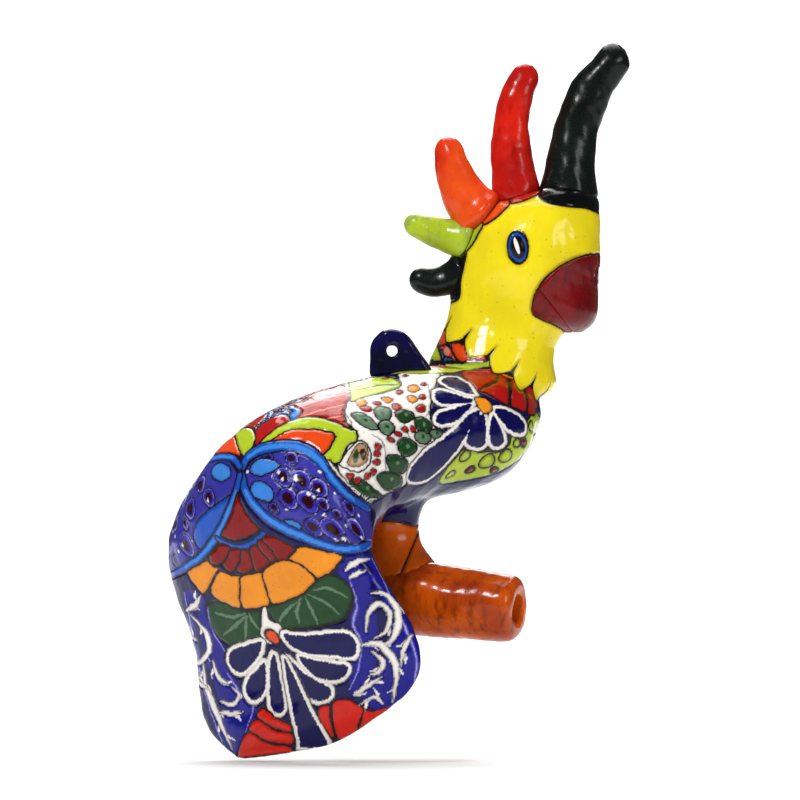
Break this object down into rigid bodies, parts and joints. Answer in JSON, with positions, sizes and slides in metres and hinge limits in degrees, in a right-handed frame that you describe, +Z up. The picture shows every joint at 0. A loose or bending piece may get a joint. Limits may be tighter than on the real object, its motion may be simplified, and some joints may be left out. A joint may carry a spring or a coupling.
{
  "type": "hanging ceramic parrot",
  "caption": "Hollow glazed earthenware parrot with a fanned crest and a broad tail, standing on a log and hung from a pierced lug on its back.",
  "frame": {"origin": "centre of the hanging hole in the lug", "axes": "+X the way the head looks, +Y to the head's left, +Z up, as it hangs"},
  "size_m": [0.2785, 0.1745, 0.43],
  "materials": {
    "painted_glaze": "glossy",
    "yellow_glaze": "glossy",
    "maroon_glaze": "glossy",
    "eye_glaze": "glossy",
    "black_glaze": "glossy",
    "red_glaze": "glossy",
    "orange_glaze": "glossy",
    "lime_glaze": "glossy",
    "navy_glaze": "glossy",
    "amber_glaze": "glossy"
  },
  "bodies": {
    "root": {"torso_right": "painted_glaze", "torso_left": "painted_glaze", "tail_back": "painted_glaze", "tail_front": "painted_glaze", "head_right": "yellow_glaze", "head_left": "yellow_glaze", "beak_upper": "maroon_glaze", "beak_lower": "maroon_glaze", "eye_right": "eye_glaze", "eye_left": "eye_glaze", "crest_feather_front": "black_glaze", "crest_feather_second": "red_glaze", "crest_feather_third": "orange_glaze", "crest_feather_fourth": "lime_glaze", "crest_feather_rear": "black_glaze", "hanging_lug": "navy_glaze", "leg": "amber_glaze", "perch_log": "amber_glaze"}
  },
  "joints": []
}
